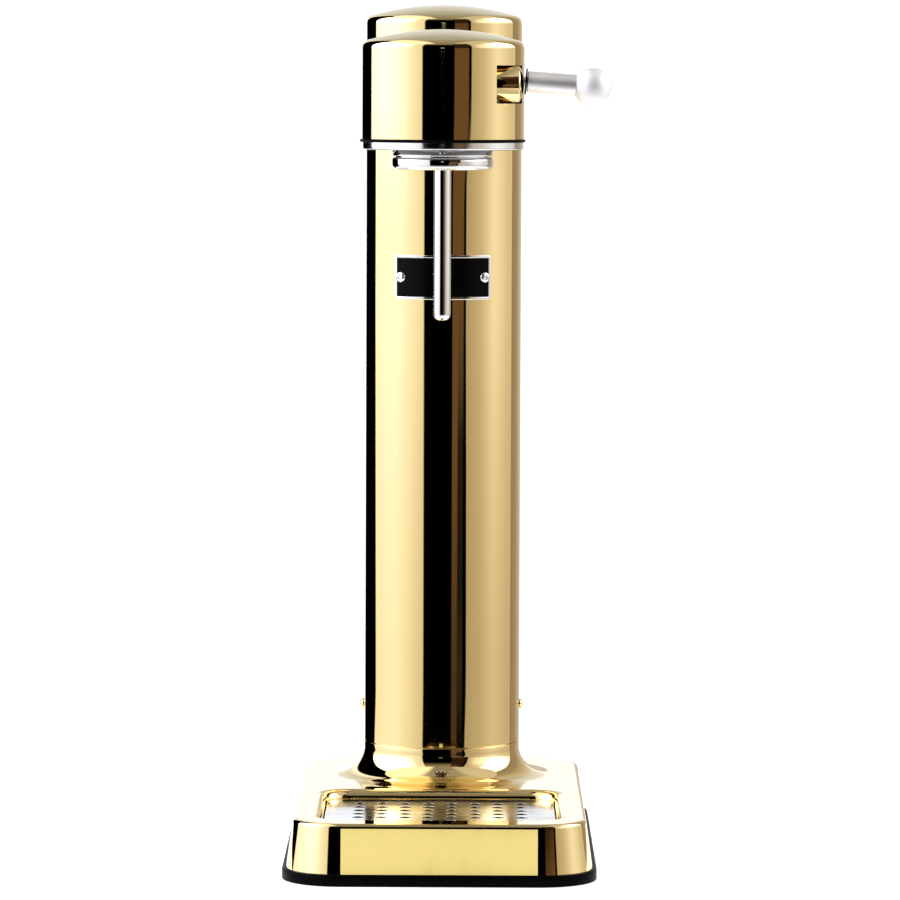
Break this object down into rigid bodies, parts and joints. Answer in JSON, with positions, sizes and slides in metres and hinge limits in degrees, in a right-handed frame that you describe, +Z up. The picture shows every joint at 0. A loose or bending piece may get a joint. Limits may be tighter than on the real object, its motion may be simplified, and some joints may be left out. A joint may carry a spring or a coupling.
{
  "type": "sparkling water maker",
  "caption": "Sparkling water maker: round tower with a gas cylinder, head with a side lever, bottle collar and carbonation tube over a drip tray.",
  "frame": {"origin": "on the table, in the middle of the rubber foot's footprint", "axes": "+Z up; the front, with the tray and the head, is -Y; the lever stands out on +X"},
  "size_m": [0.1547, 0.257, 0.4143],
  "materials": {
    "gold_metal": "polished, gold-coloured coating on steel",
    "polished_steel": "polished",
    "brass": "turned",
    "aluminium": "satin",
    "cylinder_metal": "satin lacquer",
    "black_rubber": "matte",
    "black_plastic": "fine grain",
    "black_enamel": "gloss enamel, left bare"
  },
  "bodies": {
    "machine": {"rubber_foot": "black_rubber", "base_shell": "gold_metal", "base_plate": "black_plastic", "tower_tube": "gold_metal", "tower_liner": "black_plastic", "side_screw_right": "gold_metal", "side_screw_left": "gold_metal", "name_plate": "polished_steel", "name_plate_field": "black_enamel", "name_screw_right": "polished_steel", "name_screw_left": "polished_steel", "cylinder_socket": "aluminium", "return_spring": "polished_steel", "head_shell": "gold_metal", "head_gasket": "black_rubber", "head_underplate": "polished_steel", "head_frame": "aluminium", "bottle_collar": "polished_steel", "bottle_seal": "black_rubber", "carbonation_tube": "polished_steel", "valve_body": "black_plastic", "relief_valve": "brass", "gas_pipe": "aluminium", "rocker_pin": "polished_steel", "rocker_bracket": "polished_steel", "lever_barrel": "gold_metal", "lever_pin": "polished_steel", "base_screw_1": "polished_steel", "base_screw_2": "polished_steel", "base_screw_3": "polished_steel", "base_screw_4": "polished_steel", "frame_screw_1": "polished_steel", "frame_screw_2": "polished_steel", "frame_screw_3": "polished_steel", "collar_screw_1": "polished_steel", "collar_screw_2": "polished_steel", "collar_screw_3": "polished_steel", "collar_screw_4": "polished_steel", "bracket_screw_1": "polished_steel", "bracket_screw_2": "polished_steel", "barrel_screw_1": "polished_steel", "barrel_screw_2": "polished_steel"},
    "lever": {"lever_arm": "polished_steel", "lever_washer": "black_rubber", "lever_ball": "polished_steel"},
    "rocker": {"rocker_arm": "polished_steel"},
    "plunger": {"valve_plunger": "polished_steel"},
    "cylinder": {"gas_cylinder": "cylinder_metal", "cylinder_valve": "brass"},
    "cylinder_pin": {"valve_pin": "polished_steel"},
    "tray": {"drip_tray": "black_plastic"},
    "grille": {"drip_grille": "polished_steel"}
  },
  "joints": [
    {"name": "lever_press", "type": "hinge", "parent": "machine", "child": "lever", "pos_m": [0.0213, -0.0656, 0.375], "axis": [0, 1, 0], "range_deg": [0, 24], "stiffness_Nm_per_rad": 0.5, "springref_deg": -20.05},
    {"name": "rocker_turn", "type": "hinge", "parent": "machine", "child": "rocker", "pos_m": [0, 0.005, 0.382], "axis": [-1, 0, 0], "range_deg": [0, 2.8]},
    {"name": "plunger_press", "type": "slide", "parent": "machine", "child": "plunger", "axis": [0, 0, -1], "range_m": [0, 0.00295], "deforming": ["return_spring"]},
    {"name": "cylinder_unscrew", "type": "hinge", "parent": "machine", "child": "cylinder", "pos_m": [0, 0.066, 0.34], "axis": [0, 0, -1], "range_deg": [0, 1080]},
    {"name": "cylinder_pin_press", "type": "slide", "parent": "cylinder", "child": "cylinder_pin", "axis": [0, 0, -1], "range_m": [0, 0.00295]},
    {"name": "tray_lift", "type": "slide", "parent": "machine", "child": "tray", "axis": [0, 0, 1], "range_m": [0, 0.025]},
    {"name": "grille_lift", "type": "slide", "parent": "tray", "child": "grille", "axis": [0, 0, 1], "range_m": [0, 0.02]}
  ],
  "couplings": [
    {"joint": "rocker_turn", "follows": "lever_press", "ratio": 0.1165},
    {"joint": "plunger_press", "follows": "lever_press", "m_per_rad": 0.00704},
    {"joint": "cylinder_pin_press", "follows": "lever_press", "m_per_rad": 0.00704}
  ]
}
